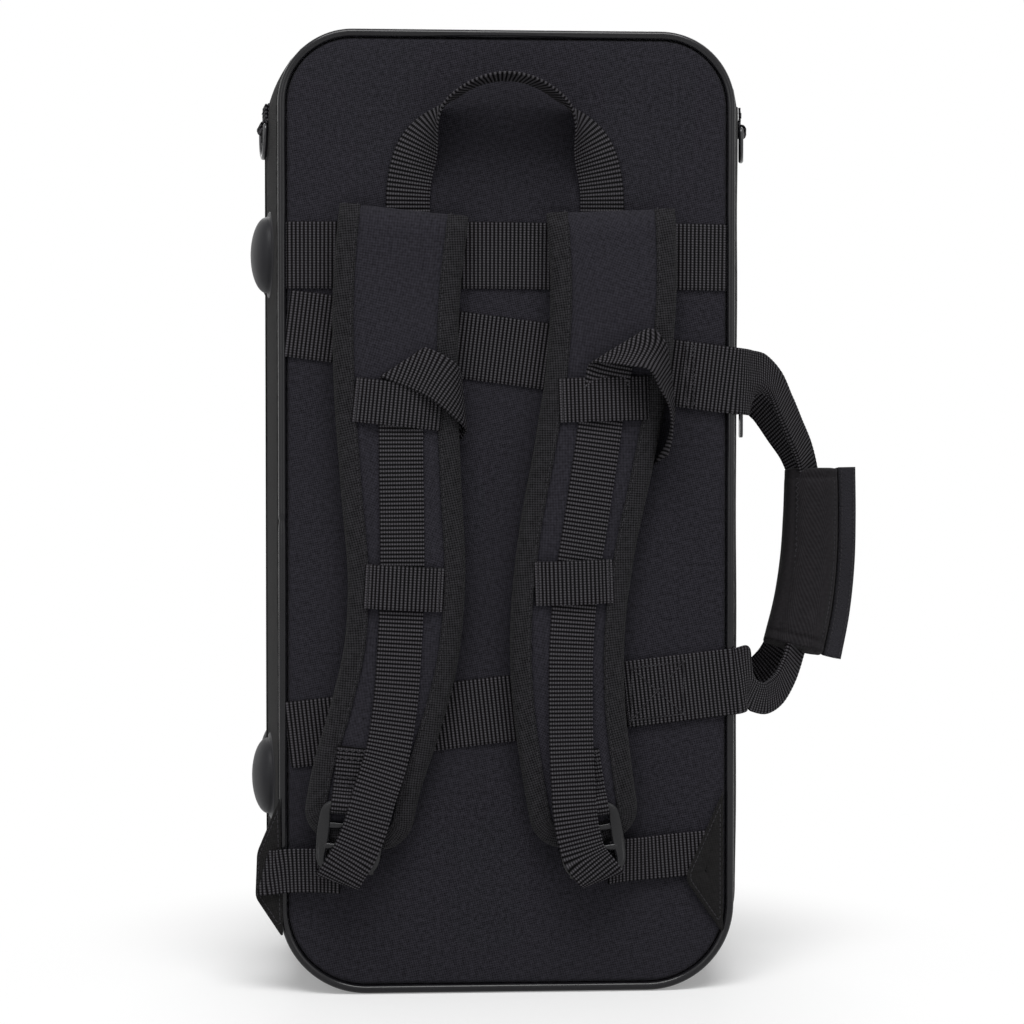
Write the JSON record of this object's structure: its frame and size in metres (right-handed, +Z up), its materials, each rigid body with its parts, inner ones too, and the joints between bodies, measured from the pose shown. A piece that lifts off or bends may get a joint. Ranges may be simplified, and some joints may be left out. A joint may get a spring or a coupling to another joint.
{
  "type": "trumpet case",
  "caption": "Soft zipped trumpet case with a side-hinged lid, foam nest, carrying loops, haul loop and padded backpack straps",
  "frame": {"origin": "on the floor under the middle of the back half, 45 mm behind the plane where back half and lid meet", "axes": "+Z up the case, +X towards the carrying handles, -Y out of the back panel with the straps, +Y out of the lid"},
  "size_m": [0.366, 0.1975, 0.5602],
  "materials": {
    "panel_cloth": "woven polyester, matt",
    "side_cloth": "woven polyester, matt",
    "webbing": "ribbed nylon webbing",
    "binding_tape": "twill tape",
    "pad_cloth": "woven polyester over foam",
    "grip_cloth": "padded woven polyester",
    "hook_tape": "hook-and-loop tape",
    "piping": "glossy extruded piping",
    "foam": "expanded foam board",
    "plush": "short-pile plush",
    "zip_tape": "woven zip tape and nylon coil",
    "foot_plastic": "satin moulded plastic",
    "buckle_plastic": "moulded acetal",
    "ring_metal": "black lacquered wire",
    "slider_metal": "black lacquered zinc"
  },
  "bodies": {
    "case_back": {"back_shell": "foam", "back_gusset": "side_cloth", "back_piping": "piping", "back_panel": "panel_cloth", "back_lining": "plush", "back_zip_tape": "zip_tape", "back_hinge_strip": "side_cloth", "bell_cradle": "plush", "valve_cradle": "plush", "bow_cradle": "plush", "accessory_tray": "plush", "mouthpiece_block": "plush", "top_band": "webbing", "upper_handle_band": "webbing", "lower_handle_band": "webbing", "handle_roots": "webbing", "haul_roots": "webbing", "left_anchor_tab": "side_cloth", "right_anchor_tab": "side_cloth", "left_anchor_web": "webbing", "right_anchor_web": "webbing", "back_feet": "foot_plastic", "left_ring_tab": "webbing", "right_ring_tab": "webbing"},
    "lid": {"lid_shell": "foam", "lid_gusset": "side_cloth", "lid_piping": "piping", "lid_panel": "panel_cloth", "lid_lining": "plush", "lid_zip_tape": "zip_tape", "lid_hinge_strip": "side_cloth", "lid_pad": "plush", "lid_upper_band": "webbing", "lid_lower_band": "webbing", "lid_handle_roots": "webbing", "lid_feet": "foot_plastic"},
    "haul_loop": {"haul_loop": "webbing"},
    "back_handle": {"back_handle": "webbing", "grip_wrap": "grip_cloth"},
    "wrap_flap": {"wrap_flap": "hook_tape"},
    "lid_handle": {"lid_handle": "webbing"},
    "left_strap": {"left_pad": "pad_cloth", "left_binding": "binding_tape", "left_keepers": "webbing", "left_buckle": "buckle_plastic", "left_base_web": "webbing", "left_tail": "webbing"},
    "right_strap": {"right_pad": "pad_cloth", "right_binding": "binding_tape", "right_keepers": "webbing", "right_buckle": "buckle_plastic", "right_base_web": "webbing", "right_tail": "webbing"},
    "left_d_ring": {"left_d_ring": "ring_metal"},
    "right_d_ring": {"right_d_ring": "ring_metal"},
    "upper_slider": {"upper_slider": "slider_metal"},
    "upper_pull": {"upper_pull": "slider_metal"},
    "lower_slider": {"lower_slider": "slider_metal"},
    "lower_pull": {"lower_pull": "slider_metal"}
  },
  "joints": [
    {"name": "lid_hinge", "type": "hinge", "parent": "case_back", "child": "lid", "pos_m": [-0.1425, 0.045, 0.28], "axis": [0, 0, 1], "range_deg": [0, 110]},
    {"name": "haul_loop_swing", "type": "hinge", "parent": "case_back", "child": "haul_loop", "pos_m": [-0.0015, -0.0411, 0.45285], "axis": [1, 0, 0], "range_deg": [0, 90]},
    {"name": "back_handle_swing", "type": "hinge", "parent": "case_back", "child": "back_handle", "pos_m": [0.1336, -0.0419, 0.25], "axis": [0, 0, -1], "range_deg": [0, 50]},
    {"name": "wrap_flap_hinge", "type": "hinge", "parent": "back_handle", "child": "wrap_flap", "pos_m": [0.1924, 0.00702, 0.18966], "axis": [-0.0987, -0.1241, -0.9874], "range_deg": [0, 38]},
    {"name": "lid_handle_swing", "type": "hinge", "parent": "lid", "child": "lid_handle", "pos_m": [0.1336, 0.1219, 0.25], "axis": [0, 0, 1], "range_deg": [0, 46]},
    {"name": "left_strap_lift", "type": "hinge", "parent": "case_back", "child": "left_strap", "pos_m": [-0.059, -0.0415, 0.4475], "axis": [-1, 0, 0], "range_deg": [0, 5]},
    {"name": "right_strap_lift", "type": "hinge", "parent": "case_back", "child": "right_strap", "pos_m": [0.061, -0.0415, 0.4475], "axis": [-1, 0, 0], "range_deg": [0, 5]},
    {"name": "left_ring_swing", "type": "hinge", "parent": "case_back", "child": "left_d_ring", "pos_m": [-0.1424, 0.0145, 0.503], "axis": [-0.1566, 0.9877, 0], "range_deg": [0, 70]},
    {"name": "right_ring_swing", "type": "hinge", "parent": "case_back", "child": "right_d_ring", "pos_m": [0.1424, 0.0145, 0.503], "axis": [-0.1566, -0.9877, 0], "range_deg": [0, 70]},
    {"name": "upper_slider_run", "type": "slide", "parent": "case_back", "child": "upper_slider", "axis": [0, 0, 1], "range_m": [0, 0.135]},
    {"name": "lower_slider_run", "type": "slide", "parent": "case_back", "child": "lower_slider", "axis": [0, 0, -1], "range_m": [0, 0.27]},
    {"name": "upper_pull_swing", "type": "hinge", "parent": "upper_slider", "child": "upper_pull", "pos_m": [0.14678, 0.045, 0.35715], "axis": [0, -1, 0], "range_deg": [0, 100]},
    {"name": "lower_pull_swing", "type": "hinge", "parent": "lower_slider", "child": "lower_pull", "pos_m": [0.14678, 0.045, 0.34285], "axis": [0, -1, 0], "range_deg": [0, 100]}
  ]
}
